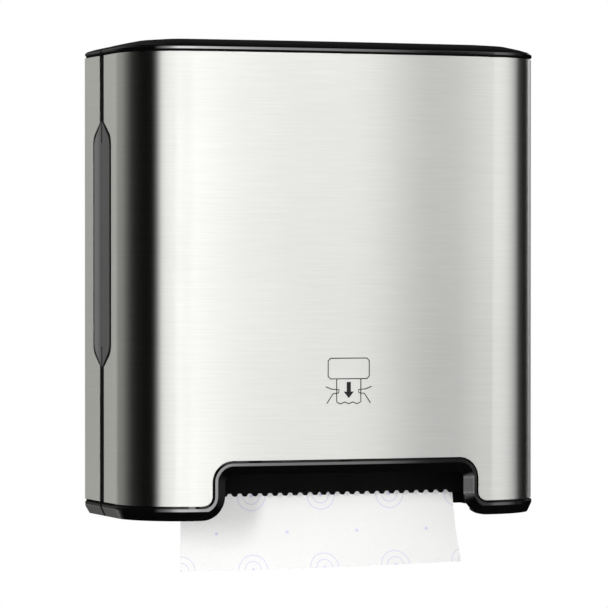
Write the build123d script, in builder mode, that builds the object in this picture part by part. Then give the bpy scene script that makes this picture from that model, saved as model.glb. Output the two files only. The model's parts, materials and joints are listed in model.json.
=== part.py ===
from build123d import *
import math
import os

os.makedirs("parts", exist_ok=True)

# A wall-hung paper towel dispenser, in millimetres.
# X runs to the right, Y towards the wall and Z up. The origin is the middle of the wall face.

# Case outline in plan
BACK_HALF = 175.8
FRONT_HALF = 171.8
DEPTH = 132.0
CORNER_Y = -124.0
CORNER_RADIUS = 54.0

# Heights
STEEL_TOP = 174.4
STEEL_BOTTOM = -175.2
CAP_HEIGHT = 11.7
TRIM_HEIGHT = 11.3
CASE_TOP = STEEL_TOP + CAP_HEIGHT
CASE_BOTTOM = STEEL_BOTTOM - TRIM_HEIGHT
EDGE_GAP = 0.3

# Walls: the steel's face lies a little inside the edge of the caps
STEEL_INSET = 0.6
STEEL = 0.9
STEEL_SEAT = 1.6
LINER = 2.2
LINER_INNER = STEEL_SEAT + LINER
BACK_WALL = 3.2
REAR_CORNER = 3.0

# Groove between the steel and the black edges
GROOVE = 1.7
GROOVE_DEPTH = 1.5

# Seam between the rear casing and the cover
SEAM_Y = -43.0
SEAM_GAP = 1.0
STRIP_HALF = 5.2
REAR_EDGE_Y = SEAM_Y + SEAM_GAP / 2
COVER_EDGE_Y = SEAM_Y - SEAM_GAP / 2
REAR_STEEL_Y = SEAM_Y + STRIP_HALF
FRONT_STEEL_Y = SEAM_Y - STRIP_HALF

# Top cap: height over the steel, and how far each section is drawn in
CAP_SECTIONS = ((GROOVE, 0.0), (3.75, 0.0), (5.6, 3.0), (7.4, 9.0), (10.1, 21.0), (CAP_HEIGHT, 40.0))
REAR_CAP_DROP = 0.5
CAP_POCKET_INSET = 15.0
CAP_POCKET_TOP = STEEL_TOP + 4.8

# Bottom trim: a straight rim over a drafted skirt
TRIM_RIM = 2.4
TRIM_DRAFT = 25.0
TRIM_WALL = 4.0
TRIM_FLOOR = 2.5
TRIM_BAY_TOP = -180.0
TRIM_BAY_HALF = 150.0

# Towel notch in the cover, and the trim's rim and sloped lip that line it
NOTCH_HALF = 110.0
NOTCH_TOP = -140.6
NOTCH_ROOF_RADIUS = 16.5
NOTCH_FOOT_RADIUS = 7.5
LIP_START = GROOVE + TRIM_RIM
LIP_END = TRIM_HEIGHT
LIP_FRONT_Y = -129.0
LIP_BACK_Y = -124.3
LIP_EDGE = 0.6
LIP_DEPTH = 10.0

# Side windows: pointed openings in the steel, with a black bezel round the lens
WINDOW_Y = -43.8
WINDOW_HALF = 22.6
WINDOW_TOP = 125.4
WINDOW_BOTTOM = -72.6
WINDOW_POINT = 15.4
WINDOW_SHOULDER = 11.0
WINDOW_SINK = 0.7
WINDOW_FIT = 0.3
BEZEL = 2.0
BEZEL_AHEAD = 5.2
BEZEL_BEHIND = 2.2
BEAD_ROOT = 0.5
LENS_Y = WINDOW_Y + (BEZEL_AHEAD - BEZEL_BEHIND) / 2
LENS_HALF = WINDOW_HALF - (BEZEL_AHEAD + BEZEL_BEHIND) / 2
LENS_BACK = 0.2
LENS_GAP = 0.3
LENS_SLIT = 18.0

# Cover hinge
HINGE_Y = -20.0
HINGE_Z = CASE_BOTTOM + 5.0
HINGE_X = 160.0
PIN_RADIUS = 2.48
PIN_LENGTH = 16.0
PIN_END = 0.1
BOSS_OVER = 1.0
BOSS_HALF = 7.0
EAR_WIDTH = 8.0
EAR_RADIUS = 4.9
EAR_CLEAR = 0.4
EAR_SWING = 2.0
EAR_FIT = 0.07

# Lock on the top cap
LOCK_Y = -70.0
LOCK_RADIUS = 9.0
LOCK_FIT = 0.06
LOCK_BOTTOM = 152.0
HOUSING_BOTTOM = 156.0
HOUSING_WALL = 3.5
HOUSING_FLANGE = (44.0, 32.0)
FLANGE_CORNER = 6.0
FLANGE_THICK = 3.0
FLANGE_CLEAR = 0.1
BARREL_SINK = 0.2
KEY_SLOT = (9.0, 2.2)
KEY_DEPTH = 8.0
CAM_LENGTH = 26.0
CAM_THICK = 3.5
CAM_WIDTH = 9.0
CAM_SCREW_DEPTH = 8.0
CAM_HOLE_DEPTH = 9.0

# Strike that the lock's cam turns behind
STRIKE_X = (17.0, 23.0)
STRIKE_Z = (158.0, 162.0)
STRIKE_NOSE_Y = (-80.0, -76.0)
STRIKE_NOSE_Z = 147.0
STRIKE_PLATE = 3.0
STRIKE_PLATE_Z = 126.0
STRIKE_SIDE = 42.0
STRIKE_GUSSET_Y = -36.0
STRIKE_SCREWS = ((34.0, 146.0), (34.0, 134.0))

# Feed drum, its rubber rings, shaft and hand wheel
DRUM_Y = -38.0
DRUM_Z = -118.0
DRUM_RADIUS = 28.0
DRUM_BODY_RADIUS = 26.0
DRUM_HALF = 115.0
DRUM_WALL = 3.0
DRUM_END = 4.0
SHAFT_RADIUS = 5.0
SHAFT_FIT = 0.05
GRIP_PLACES = (-90.0, -45.0, 0.0, 45.0, 90.0)
GRIP_WIDTH = 15.0
CLIP_X = (-127.6, -126.0)
CLIP_RADIUS = 8.5
SHAFT_LEFT = -129.0
WHEEL_RADIUS = 32.0
WHEEL_X = 128.0
WHEEL_WIDTH = 12.0
WHEEL_WEB = 4.0
WHEEL_RIM = 5.0
WHEEL_BOSS = 11.0
WHEEL_NECK = 9.0
WHEEL_NECK_LENGTH = 2.5
SCALLOP_COUNT = 30
SCALLOP_RADIUS = 2.0
SCALLOP_OUT = 0.6

# Towel roll
ROLL_Y = -66.0
ROLL_Z = 62.0
ROLL_RADIUS = 54.0
ROLL_HALF = 114.0
CORE_RADIUS = 20.4
CORE_BORE = 19.0
CORE_FIT = 0.15

# Towel sheet
TOWEL_HALF = 114.0
TOWEL_THICK = 0.4
TOWEL_CLEAR = 0.3
TOWEL_END_Y = -76.0
TOWEL_END_Z = -229.0
TOWEL_BEND_Z = -150.0

# Pinch roller and its sprung yoke
PINCH_RADIUS = 9.0
PINCH_SHAFT = 3.0
PINCH_FIT = 0.06
PINCH_END = 119.2
SLEEVE_WIDTH = 18.0
PINCH_PIVOT = (-70.0, -80.0)
TIE_BAR = (-80.0, -84.0)
TIE_RADIUS = 3.5
TIE_BOSS = 7.0
YOKE_X = 115.5
YOKE_THICK = 3.0
YOKE_WIDTH = 12.0
PINCH_SPRING_X = (104.5, 115.0)
PINCH_SPRING_RADII = (5.2, 3.5)

# Mechanism cheeks
CHEEK_X = 120.0
CHEEK_THICK = 3.0
CHEEK_OUTLINE = (
    (-BACK_WALL, -66.0),
    (-80.0, -66.0),
    (-86.0, -74.0),
    (-86.0, -174.0),
    (-80.0, -180.8),
    (-52.0, -180.8),
    (-46.0, -171.0),
    (-BACK_WALL, -171.0),
)
BUSH_RADIUS = 8.0
BUSH_NOSE = 2.0
BUSH_FLANGE = 1.6
BUSH_FLANGE_RADIUS = 11.0
FOOT_WIDTH = 16.0
FOOT_HEIGHT = 16.0
FOOT_PLACES = (-162.0, -74.0)
FOOT_SCREW_X = 129.6

# Chute behind the towel
CHUTE_Y = -64.5
CHUTE_THICK = 2.5
CHUTE_TOP = -150.0
CHUTE_BOTTOM = -180.7
CHUTE_BACK = -47.0

# Tear bar
TEAR_Y = -72.0
TEAR_THICK = 3.0
TEAR_TOP = -128.0
TEETH_Z = -171.5
TOOTH_PITCH = 8.38
TOOTH_COUNT = 12
TOOTH_GAP = 6.3
MIDDLE_GAP = 5.12
MIDDLE_GAP_X = 3.6
TOOTH_HEIGHT = 2.3
TOOTH_ANGLE = 54.0
TOOTH_TIP = 2.0
TOOTH_ROOT = 0.8
TAB_WIDTH = 4.5
TAB_DEPTH = 10.0
TAB_Z = (-148.0, -136.0)
TEAR_SCREW = (-67.0, -142.0)
TEAR_SCREW_X = 116.5
TEAR_HOLE_X = 116.0

# Roll arms and the sprung hub
ARM_X = 120.0
ARM_THICK = 4.0
ARM_RADIUS = 24.0
ARM_FOOT = 3.0
ARM_FOOT_HALF = 32.0
ARM_SCREW_PLACES = (ROLL_Z - 22.0, ROLL_Z + 22.0)
HUB_RADIUS = 18.6
HUB_WALL = 3.0
HUB_REACH = 104.0
HUB_CHAMFER = 2.0
HUB_FIT = 0.3
SLEEVE_START = 118.0
SLEEVE_END = 138.0
SLEEVE_WALL = 3.0
SLEEVE_CAP = 2.0
KNOB_X = (141.0, 152.0)
KNOB_BORE_END = 150.0
KNOB_RADIUS = 12.0
KNOB_CHAMFER = 2.0
SPRING_X = (107.2, 135.8)
SPRING_RADII = (11.0, 8.5)

# Screws and wall holes
SCREW_RADIUS = 1.9
SCREW_HEAD = 3.8
SCREW_HEAD_HEIGHT = 2.4
SCREW_TIP = 1.8
SCREW_END = 0.2
WALL_HOLE_RADIUS = 3.0
WALL_HOLE_X = 140.0
WALL_HOLE_Z = 130.0

FAR = 400.0
FIT = 0.02

# Places worked out from the driving sizes
FIRST_GAP_X = MIDDLE_GAP_X + (MIDDLE_GAP - TOOTH_GAP) / 2 + TOOTH_PITCH
TOOTH_GAPS = [(MIDDLE_GAP_X, MIDDLE_GAP)]
TOOTH_GAPS += [(FIRST_GAP_X + TOOTH_PITCH * step, TOOTH_GAP) for step in range(TOOTH_COUNT)]
CHEEK_SCREWS = [(side * FOOT_SCREW_X, z) for side in (-1, 1) for z in FOOT_PLACES]
ARM_SCREWS = [(side * FOOT_SCREW_X, z) for side in (-1, 1) for z in ARM_SCREW_PLACES]
TOWEL_DRUM_RADIUS = DRUM_RADIUS + TOWEL_CLEAR + TOWEL_THICK / 2
TOWEL_ROLL_RADIUS = ROLL_RADIUS + TOWEL_CLEAR + TOWEL_THICK / 2
CENTRES = math.hypot(ROLL_Y - DRUM_Y, ROLL_Z - DRUM_Z)
WEB_LEAN = math.asin((TOWEL_DRUM_RADIUS + TOWEL_ROLL_RADIUS) / CENTRES)
WEB_LEAN -= math.atan2(DRUM_Y - ROLL_Y, ROLL_Z - DRUM_Z)
NORMAL_Y = -math.cos(WEB_LEAN)
NORMAL_Z = math.sin(WEB_LEAN)
NIP = DRUM_RADIUS + 2 * TOWEL_CLEAR + TOWEL_THICK + PINCH_RADIUS
PINCH_Y = DRUM_Y + NIP * NORMAL_Y
PINCH_Z = DRUM_Z + NIP * NORMAL_Z


def case_face(inset=0.0, back=0.0):
    """The case's plan outline, drawn in by inset at the front and sides, with its rear edge at back."""
    lean = (BACK_HALF - FRONT_HALF) / -CORNER_Y
    rear_y = back + inset
    rear_half = BACK_HALF + lean * rear_y
    with BuildSketch(Plane.XY, mode=Mode.PRIVATE) as outline:
        with BuildLine():
            rear = Line((-rear_half, rear_y), (rear_half, rear_y))
            right = Line(rear @ 1, (FRONT_HALF, CORNER_Y))
            front = ThreePointArc(right @ 1, (0, -DEPTH), (-FRONT_HALF, CORNER_Y))
            Line(front @ 1, rear @ 0)
        make_face()
        fillet([v for v in outline.vertices() if abs(v.Y - CORNER_Y) < 0.01], CORNER_RADIUS)
        if inset:
            offset(amount=-inset)
    return outline.sketch


def pointed_face(middle, half, top, bottom):
    """A tall outline with a point at each end, seen along X."""
    with BuildSketch(Plane.XY, mode=Mode.PRIVATE) as outline:
        with BuildLine():
            Polyline(
                (middle, top),
                (middle + half, top - WINDOW_POINT),
                (middle + half, bottom + WINDOW_POINT),
                (middle, bottom),
                (middle - half, bottom + WINDOW_POINT),
                (middle - half, top - WINDOW_POINT),
                close=True,
            )
        make_face()
        shoulders = [v for v in outline.vertices() if abs(v.X - middle) > 1]
        fillet(shoulders, WINDOW_SHOULDER)
    return outline.sketch


def window_face(grow=0.0):
    """The opening for the side window in the steel."""
    return pointed_face(WINDOW_Y, WINDOW_HALF + grow, WINDOW_TOP + grow, WINDOW_BOTTOM - grow)


def lens_face(grow=0.0):
    """The lens in that opening, with a wider black bezel ahead of it."""
    return pointed_face(LENS_Y, LENS_HALF + grow, WINDOW_TOP - BEZEL + grow, WINDOW_BOTTOM + BEZEL - grow)


def notch_face(half, roof, floor, roof_radius, foot_radius):
    """The towel notch seen from the front, with the open strip under the case."""
    with BuildSketch(Plane.XY, mode=Mode.PRIVATE) as outline:
        with BuildLine():
            Polyline(
                (-FAR, floor - FAR),
                (-FAR, floor),
                (-half, floor),
                (-half, roof),
                (half, roof),
                (half, floor),
                (FAR, floor),
                (FAR, floor - FAR),
                close=True,
            )
        make_face()
        fillet([v for v in outline.vertices() if v.Y > floor + 1], roof_radius)
        feet = [v for v in outline.vertices() if abs(abs(v.X) - half) < 0.01]
        fillet([v for v in feet if v.Y < floor + 1], foot_radius)
    return outline.sketch


def steel_notch(shrink=0.0):
    """The notch in the steel, drawn in by shrink."""
    return notch_face(
        NOTCH_HALF - shrink,
        NOTCH_TOP - shrink,
        STEEL_BOTTOM - shrink,
        NOTCH_ROOF_RADIUS - shrink,
        NOTCH_FOOT_RADIUS + shrink,
    )


def block(low, high, mode=Mode.ADD):
    """A box between two corners."""
    middle = tuple((a + b) / 2 for a, b in zip(low, high))
    with Locations(middle):
        Box(*[abs(b - a) for a, b in zip(low, high)], mode=mode)


def keep_rear(edge=REAR_EDGE_Y):
    """Keep what lies behind the seam."""
    block((-FAR, edge, -FAR), (FAR, FAR, FAR), Mode.INTERSECT)


def round_rear():
    """Round the two upright rear edges."""
    with BuildSketch(Plane.XY) as section:
        add(case_face())
        fillet([v for v in section.vertices() if abs(v.Y) < 0.01], REAR_CORNER)
    extrude(section.sketch, amount=FAR, both=True, mode=Mode.INTERSECT)


def keep_cover(edge=COVER_EDGE_Y):
    """Keep what lies in front of the seam."""
    block((-FAR, -FAR, -FAR), (FAR, edge, FAR), Mode.INTERSECT)


def rod(x0, x1, y, z, radius, mode=Mode.ADD):
    """A round bar along X."""
    with BuildSketch(Plane.YZ.offset(x0)) as section:
        with Locations((y, z)):
            Circle(radius)
    extrude(section.sketch, amount=x1 - x0, mode=mode)


def bore(y, z, radius):
    """A round hole along X, right through."""
    rod(-FAR, FAR, y, z, radius, Mode.SUBTRACT)


def cut_sides(face):
    """Cut an outline seen along X through both sides."""
    with BuildSketch(Plane.YZ) as section:
        add(face)
    extrude(section.sketch, amount=FAR, both=True, mode=Mode.SUBTRACT)


def cut_notch(shrink):
    """Cut the notch through the front."""
    with BuildSketch(Plane.XZ) as section:
        add(steel_notch(shrink))
    extrude(section.sketch, amount=FAR, mode=Mode.SUBTRACT)


def write(builder, name):
    """Label a finished piece and write it out."""
    builder.part.label = name
    export_step(builder.part, f"parts/{name}.step")


def cap_blank(drop=0.0):
    """The whole top cap before it is parted at the seam: a groove, a straight rim and a shallow dome."""
    with BuildPart() as blank:
        for height, inset in CAP_SECTIONS:
            sunk = height - drop if height > GROOVE else height
            with BuildSketch(Plane.XY.offset(STEEL_TOP + sunk)):
                add(case_face(inset))
        loft(ruled=True)
        with BuildSketch(Plane.XY.offset(STEEL_TOP + EDGE_GAP)):
            add(case_face(GROOVE_DEPTH))
        extrude(amount=GROOVE - EDGE_GAP)
    return blank.part


def trim_blank():
    """The whole bottom trim before it is parted at the seam."""
    rim_bottom = STEEL_BOTTOM - GROOVE - TRIM_RIM
    with BuildPart() as blank:
        with BuildSketch(Plane.XY.offset(rim_bottom)):
            add(case_face())
        extrude(amount=STEEL_BOTTOM - EDGE_GAP - rim_bottom)
        with BuildSketch(Plane.XY.offset(rim_bottom)):
            add(case_face())
        extrude(amount=CASE_BOTTOM - rim_bottom, taper=TRIM_DRAFT)
    return blank.part


def groove_blank():
    """The groove cut in the bottom trim along the steel's lower edge and round the notch."""
    with BuildPart() as blank:
        with BuildSketch(Plane.XY.offset(STEEL_BOTTOM - GROOVE)):
            add(case_face(-GROOVE_DEPTH))
            add(case_face(GROOVE_DEPTH), mode=Mode.SUBTRACT)
        extrude(amount=NOTCH_TOP - STEEL_BOTTOM + GROOVE)
        with BuildSketch(Plane.XZ):
            add(steel_notch())
            add(steel_notch(GROOVE), mode=Mode.SUBTRACT)
        extrude(amount=FAR, both=True, mode=Mode.INTERSECT)
    return blank.part


def bead_blank():
    """The raised black strip along the seam and round the lenses, almost flush with the steel."""
    with BuildPart() as blank:
        with BuildSketch(Plane.XY.offset(STEEL_BOTTOM + EDGE_GAP)):
            add(case_face(WINDOW_SINK))
            add(case_face(STEEL_SEAT + BEAD_ROOT), mode=Mode.SUBTRACT)
        extrude(amount=STEEL_TOP - STEEL_BOTTOM - 2 * EDGE_GAP)
        with BuildSketch(Plane.YZ):
            with Locations((SEAM_Y, 0)):
                Rectangle(2 * (STRIP_HALF - WINDOW_FIT), FAR)
            add(window_face(-WINDOW_FIT))
            add(lens_face(WINDOW_FIT), mode=Mode.SUBTRACT)
        extrude(amount=FAR, both=True, mode=Mode.INTERSECT)
    return blank.part


REAR_CAP = cap_blank(REAR_CAP_DROP)
COVER_CAP = cap_blank()
TRIM = trim_blank()
TRIM_GROOVE = groove_blank()
BEAD = bead_blank()

# Rear casing: a black tray that carries everything inside
with BuildPart() as rear_casing:
    with BuildSketch(Plane.XY.offset(STEEL_BOTTOM + EDGE_GAP)):
        add(case_face(STEEL_SEAT))
    extrude(amount=STEEL_TOP - STEEL_BOTTOM - 2 * EDGE_GAP)
    add(BEAD)
    keep_rear()
    with BuildSketch(Plane.XY.offset(STEEL_BOTTOM + EDGE_GAP + LINER)):
        add(case_face(LINER_INNER, back=-BACK_WALL))
    extrude(amount=STEEL_TOP - STEEL_BOTTOM - 2 * (EDGE_GAP + LINER), mode=Mode.SUBTRACT)
    cut_sides(lens_face(WINDOW_FIT))
    with BuildSketch(Plane.XZ):
        with GridLocations(2 * WALL_HOLE_X, 2 * WALL_HOLE_Z, 2, 2):
            Circle(WALL_HOLE_RADIUS)
    extrude(amount=FAR, both=True, mode=Mode.SUBTRACT)
    with BuildSketch(Plane.XZ.offset(BACK_WALL - SCREW_TIP)):
        with Locations(*CHEEK_SCREWS, *ARM_SCREWS, *STRIKE_SCREWS):
            Circle(SCREW_RADIUS + FIT)
    extrude(amount=2 * SCREW_TIP, mode=Mode.SUBTRACT)
write(rear_casing, "rear_casing")

# Steel side panels of the rear casing
for side, name in ((-1, "left"), (1, "right")):
    with BuildPart() as rear_side_panel:
        with BuildSketch(Plane.XY.offset(STEEL_BOTTOM)):
            add(case_face(STEEL_INSET))
            add(case_face(STEEL_INSET + STEEL), mode=Mode.SUBTRACT)
        extrude(amount=STEEL_TOP - STEEL_BOTTOM)
        block((0, REAR_STEEL_Y, -FAR), (side * FAR, FAR, FAR), Mode.INTERSECT)
        cut_sides(window_face())
    write(rear_side_panel, f"rear_side_panel_{name}")

# Rear half of the top cap
with BuildPart() as rear_top_cap:
    add(REAR_CAP)
    keep_rear()
    round_rear()
    with BuildSketch(Plane.XY.offset(STEEL_TOP)):
        add(case_face(CAP_POCKET_INSET, back=-TRIM_WALL))
        with Locations((0, REAR_EDGE_Y + TRIM_WALL + FAR / 2)):
            Rectangle(FAR, FAR, mode=Mode.INTERSECT)
    extrude(amount=CAP_POCKET_TOP - STEEL_TOP, mode=Mode.SUBTRACT)
write(rear_top_cap, "rear_top_cap")

# Rear half of the bottom trim, cut away over the towel's bay, with the bosses and slots of the cover hinge
with BuildPart() as rear_bottom_trim:
    add(TRIM)
    keep_rear()
    round_rear()
    add(TRIM_GROOVE, mode=Mode.SUBTRACT)
    with BuildSketch(Plane.XY.offset(CASE_BOTTOM + TRIM_FLOOR)):
        add(case_face(2 * TRIM_WALL, back=-2 * TRIM_WALL))
        with Locations((0, REAR_EDGE_Y + TRIM_WALL + FAR / 2)):
            Rectangle(FAR, FAR, mode=Mode.INTERSECT)
    extrude(amount=TRIM_HEIGHT, mode=Mode.SUBTRACT)
    block((-TRIM_BAY_HALF, -FAR, -FAR), (TRIM_BAY_HALF, FAR, TRIM_BAY_TOP), Mode.SUBTRACT)
    for side in (-1, 1):
        boss_half = PIN_LENGTH / 2 + BOSS_OVER
        block(
            (side * HINGE_X - boss_half, HINGE_Y - BOSS_HALF, CASE_BOTTOM + BOSS_OVER),
            (side * HINGE_X + boss_half, HINGE_Y + BOSS_HALF, STEEL_BOTTOM - EDGE_GAP),
        )
    for side in (-1, 1):
        slot_half = EAR_WIDTH / 2 + EAR_CLEAR
        block(
            (side * HINGE_X - slot_half, -FAR, -FAR),
            (side * HINGE_X + slot_half, HINGE_Y + EAR_RADIUS + EAR_SWING, FAR),
            Mode.SUBTRACT,
        )
        low = side * HINGE_X - PIN_LENGTH / 2
        rod(low, low + PIN_LENGTH, HINGE_Y, HINGE_Z, PIN_RADIUS + FIT, Mode.SUBTRACT)
write(rear_bottom_trim, "rear_bottom_trim")

# Hinge pins
for side, name in ((-1, "left"), (1, "right")):
    with BuildPart() as hinge_pin:
        low = side * HINGE_X - PIN_LENGTH / 2 + PIN_END
        rod(low, low + PIN_LENGTH - 2 * PIN_END, HINGE_Y, HINGE_Z, PIN_RADIUS)
    write(hinge_pin, f"hinge_pin_{name}")


def window_lens(side, front):
    """One smoked window half, a little under the steel's face, with a wider slit at its two points."""
    with BuildPart() as lens:
        with BuildSketch(Plane.XY.offset(WINDOW_BOTTOM)):
            add(case_face(WINDOW_SINK))
            add(case_face(LINER_INNER - LENS_BACK), mode=Mode.SUBTRACT)
        extrude(amount=WINDOW_TOP - WINDOW_BOTTOM)
        with BuildSketch(Plane.YZ):
            add(lens_face())
        extrude(amount=side * FAR, mode=Mode.INTERSECT)
        if front:
            keep_cover(SEAM_Y - LENS_GAP / 2)
        else:
            keep_rear(SEAM_Y + LENS_GAP / 2)
        block((-FAR, REAR_EDGE_Y, WINDOW_TOP - LENS_SLIT), (FAR, COVER_EDGE_Y, FAR), Mode.SUBTRACT)
        block((-FAR, REAR_EDGE_Y, WINDOW_BOTTOM + LENS_SLIT), (FAR, COVER_EDGE_Y, -FAR), Mode.SUBTRACT)
    return lens


for side, name in ((-1, "left"), (1, "right")):
    write(window_lens(side, False), f"rear_window_{name}")
    write(window_lens(side, True), f"cover_window_{name}")

# Brushed steel front panel, wrapped round both corners
with BuildPart() as front_panel:
    with BuildSketch(Plane.XY.offset(STEEL_BOTTOM)):
        add(case_face(STEEL_INSET))
        add(case_face(STEEL_INSET + STEEL), mode=Mode.SUBTRACT)
    extrude(amount=STEEL_TOP - STEEL_BOTTOM)
    block((-FAR, -FAR, -FAR), (FAR, FRONT_STEEL_Y, FAR), Mode.INTERSECT)
    cut_notch(0)
    cut_sides(window_face())
write(front_panel, "front_panel")

# Black inner frame of the cover, which backs the steel
with BuildPart() as cover_frame:
    with BuildSketch(Plane.XY.offset(STEEL_BOTTOM + EDGE_GAP)):
        add(case_face(STEEL_SEAT))
        add(case_face(LINER_INNER), mode=Mode.SUBTRACT)
    extrude(amount=STEEL_TOP - STEEL_BOTTOM - 2 * EDGE_GAP)
    add(BEAD)
    keep_cover()
    cut_notch(-EDGE_GAP)
    cut_sides(lens_face(WINDOW_FIT))
write(cover_frame, "cover_frame")

# Front half of the top cap, with the hole for the lock
with BuildPart() as cover_top_cap:
    add(COVER_CAP)
    keep_cover()
    with BuildSketch(Plane.XY.offset(STEEL_TOP)):
        add(case_face(CAP_POCKET_INSET))
        with Locations((0, COVER_EDGE_Y - TRIM_WALL - FAR / 2)):
            Rectangle(FAR, FAR, mode=Mode.INTERSECT)
    extrude(amount=CAP_POCKET_TOP - STEEL_TOP, mode=Mode.SUBTRACT)
    with BuildSketch(Plane.XY.offset(STEEL_TOP)):
        with Locations((0, LOCK_Y)):
            Circle(LOCK_RADIUS + LOCK_FIT)
    extrude(amount=FAR, mode=Mode.SUBTRACT)
write(cover_top_cap, "cover_top_cap")

# Front half of the bottom trim, with the lip round the notch and the hinge ears
with BuildPart() as cover_bottom_trim:
    with BuildSketch(Plane.XY.offset(STEEL_BOTTOM - EDGE_GAP)):
        add(case_face())
    extrude(amount=NOTCH_TOP - STEEL_BOTTOM + EDGE_GAP)
    with BuildSketch(Plane.XZ):
        add(steel_notch(EDGE_GAP))
    extrude(amount=FAR, mode=Mode.INTERSECT)
    add(TRIM)
    keep_cover()
    with BuildSketch(Plane.XY.offset(CASE_BOTTOM + TRIM_FLOOR)):
        add(case_face(2 * TRIM_WALL))
        Rectangle(2 * TRIM_BAY_HALF, FAR, mode=Mode.SUBTRACT)
        with Locations((0, COVER_EDGE_Y - TRIM_WALL - FAR / 2)):
            Rectangle(FAR, FAR, mode=Mode.INTERSECT)
    extrude(amount=FAR, mode=Mode.SUBTRACT)
    with BuildSketch(Plane.XZ.offset(-LIP_FRONT_Y)) as mouth:
        add(steel_notch(LIP_START))
    with BuildSketch(Plane.XZ.offset(-LIP_BACK_Y)) as throat:
        add(steel_notch(LIP_END))
    with BuildSketch(Plane.XZ.offset(-LIP_BACK_Y - LIP_EDGE)) as relief:
        add(
            notch_face(
                NOTCH_HALF - LIP_START,
                NOTCH_TOP - LIP_START,
                CASE_BOTTOM - TRIM_HEIGHT,
                NOTCH_ROOF_RADIUS - LIP_START,
                NOTCH_FOOT_RADIUS,
            )
        )
    extrude(mouth.sketch, amount=FAR, mode=Mode.SUBTRACT)
    loft((mouth.sketch, throat.sketch), ruled=True, mode=Mode.SUBTRACT)
    extrude(throat.sketch, amount=-FAR, mode=Mode.SUBTRACT)
    extrude(relief.sketch, amount=-FAR, mode=Mode.SUBTRACT)
    with BuildSketch(Plane.XY.offset(CASE_BOTTOM - TRIM_HEIGHT)) as hollow:
        add(case_face(LIP_DEPTH))
        Rectangle(2 * TRIM_BAY_HALF, FAR, mode=Mode.INTERSECT)
    extrude(hollow.sketch, amount=FAR, mode=Mode.SUBTRACT)
    add(TRIM_GROOVE, mode=Mode.SUBTRACT)
    for side in (-1, 1):
        low_x = side * HINGE_X - EAR_WIDTH / 2
        block(
            (low_x, COVER_EDGE_Y - 2 * TRIM_WALL, HINGE_Z - EAR_RADIUS),
            (low_x + EAR_WIDTH, HINGE_Y, HINGE_Z + EAR_RADIUS),
        )
        rod(low_x, low_x + EAR_WIDTH, HINGE_Y, HINGE_Z, EAR_RADIUS)
        rod(low_x, low_x + EAR_WIDTH, HINGE_Y, HINGE_Z, PIN_RADIUS + EAR_FIT, Mode.SUBTRACT)
write(cover_bottom_trim, "cover_bottom_trim")

# Lock: housing under the cap, barrel with a key slot, cam and its screw, and the strike on the casing
with BuildPart() as lock_housing:
    flange_top = CAP_POCKET_TOP - FLANGE_CLEAR
    with BuildSketch(Plane.XY.offset(HOUSING_BOTTOM)):
        with Locations((0, LOCK_Y)):
            Circle(LOCK_RADIUS + HOUSING_WALL)
    extrude(amount=flange_top - HOUSING_BOTTOM)
    with BuildSketch(Plane.XY.offset(flange_top)):
        with Locations((0, LOCK_Y)):
            RectangleRounded(*HOUSING_FLANGE, FLANGE_CORNER)
    extrude(amount=-FLANGE_THICK)
    with BuildSketch(Plane.XY.offset(HOUSING_BOTTOM)):
        with Locations((0, LOCK_Y)):
            Circle(LOCK_RADIUS + LOCK_FIT)
    extrude(amount=FAR, mode=Mode.SUBTRACT)
write(lock_housing, "lock_housing")

with BuildPart() as lock_barrel:
    with BuildSketch(Plane.XY.offset(LOCK_BOTTOM)):
        with Locations((0, LOCK_Y)):
            Circle(LOCK_RADIUS)
    extrude(amount=CASE_TOP - BARREL_SINK - LOCK_BOTTOM)
    with BuildSketch(Plane.XY.offset(CASE_TOP - KEY_DEPTH)):
        with Locations((0, LOCK_Y)):
            SlotOverall(*KEY_SLOT)
    extrude(amount=FAR, mode=Mode.SUBTRACT)
    with BuildSketch(Plane.XY.offset(LOCK_BOTTOM)):
        with Locations((0, LOCK_Y)):
            Circle(SCREW_RADIUS + FIT)
    extrude(amount=CAM_HOLE_DEPTH, mode=Mode.SUBTRACT)
write(lock_barrel, "lock_barrel")

with BuildPart() as lock_cam:
    with BuildSketch(Plane.XY.offset(LOCK_BOTTOM)):
        with Locations((0, LOCK_Y + CAM_LENGTH / 2 - CAM_WIDTH / 4)):
            SlotOverall(CAM_LENGTH, CAM_WIDTH, rotation=90)
        with Locations((0, LOCK_Y)):
            Circle(SCREW_RADIUS + FIT, mode=Mode.SUBTRACT)
    extrude(amount=-CAM_THICK)
write(lock_cam, "lock_cam")

with BuildPart() as cam_screw:
    with BuildSketch(Plane.XY.offset(LOCK_BOTTOM - CAM_THICK)):
        with Locations((0, LOCK_Y)):
            Circle(SCREW_RADIUS)
    extrude(amount=CAM_THICK + CAM_SCREW_DEPTH)
    with BuildSketch(Plane.XY.offset(LOCK_BOTTOM - CAM_THICK)):
        with Locations((0, LOCK_Y)):
            Circle(SCREW_HEAD)
    extrude(amount=-SCREW_HEAD_HEIGHT)
write(cam_screw, "cam_screw")

with BuildPart() as lock_strike:
    block((STRIKE_X[0], STRIKE_NOSE_Y[0], STRIKE_Z[0]), (STRIKE_X[1], -BACK_WALL, STRIKE_Z[1]))
    block((STRIKE_X[0], STRIKE_NOSE_Y[0], STRIKE_NOSE_Z), (STRIKE_X[1], STRIKE_NOSE_Y[1], STRIKE_Z[1]))
    block((STRIKE_X[0], -BACK_WALL - STRIKE_PLATE, STRIKE_PLATE_Z), (STRIKE_SIDE, -BACK_WALL, STRIKE_Z[1]))
    block((STRIKE_X[1], STRIKE_GUSSET_Y, STRIKE_Z[0]), (STRIKE_SIDE, -BACK_WALL, STRIKE_Z[1]))
    with BuildSketch(Plane.XZ):
        with Locations(*STRIKE_SCREWS):
            Circle(SCREW_RADIUS + FIT)
    extrude(amount=FAR, mode=Mode.SUBTRACT)
write(lock_strike, "lock_strike")


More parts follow.
